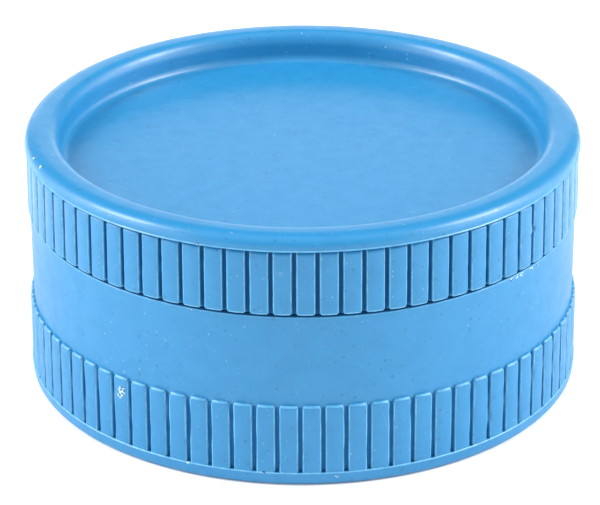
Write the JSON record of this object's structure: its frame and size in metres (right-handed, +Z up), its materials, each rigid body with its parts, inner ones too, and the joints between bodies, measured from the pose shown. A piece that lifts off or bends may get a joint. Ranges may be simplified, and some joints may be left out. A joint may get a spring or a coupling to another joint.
{
  "type": "pill crusher",
  "caption": "Squat round twist crusher: a ribbed lid turns on a ribbed base, and steel pins inside break tablets between them.",
  "frame": {"origin": "centre of the foot, on the plane that the crusher stands on", "axes": "+Z up along the turning axis, towards the lid; -Y towards the viewer of the picture"},
  "size_m": [0.06, 0.06, 0.028],
  "materials": {
    "flecked_plastic": "satin moulded blue with fine dark and pale flecks",
    "ground_steel": "ground stainless pins",
    "magnet_nickel": "nickel plate",
    "glide_nylon": "natural moulded nylon"
  },
  "bodies": {
    "base": {"base_shell": "flecked_plastic", "base_pin_01": "ground_steel", "base_pin_02": "ground_steel", "base_pin_03": "ground_steel", "base_pin_04": "ground_steel", "base_pin_05": "ground_steel", "base_pin_06": "ground_steel", "base_pin_07": "ground_steel", "base_pin_08": "ground_steel", "base_pin_09": "ground_steel", "base_pin_10": "ground_steel", "base_pin_11": "ground_steel", "base_pin_12": "ground_steel", "base_pin_13": "ground_steel", "base_pin_14": "ground_steel", "base_pin_15": "ground_steel", "base_pin_16": "ground_steel", "base_magnet": "magnet_nickel", "base_magnet_cap": "flecked_plastic"},
    "ring": {"glide_ring": "glide_nylon"},
    "lid": {"lid_shell": "flecked_plastic", "lid_pin_01": "ground_steel", "lid_pin_02": "ground_steel", "lid_pin_03": "ground_steel", "lid_pin_04": "ground_steel", "lid_pin_05": "ground_steel", "lid_pin_06": "ground_steel", "lid_pin_07": "ground_steel", "lid_pin_08": "ground_steel", "lid_pin_09": "ground_steel", "lid_pin_10": "ground_steel", "lid_pin_11": "ground_steel", "lid_pin_12": "ground_steel", "lid_pin_13": "ground_steel", "lid_pin_14": "ground_steel", "lid_pin_15": "ground_steel", "lid_pin_16": "ground_steel", "lid_pin_17": "ground_steel", "lid_pin_18": "ground_steel", "lid_pin_19": "ground_steel", "lid_pin_20": "ground_steel", "lid_magnet": "magnet_nickel", "lid_magnet_cap": "flecked_plastic"}
  },
  "joints": [
    {"name": "lid_lift", "type": "slide", "parent": "base", "child": "ring", "axis": [0, 0, 1], "range_m": [0, 0.03]},
    {"name": "lid_turn", "type": "hinge", "parent": "ring", "child": "lid", "pos_m": [0, 0, 0.0215], "axis": [0, 0, 1], "continuous": true}
  ]
}
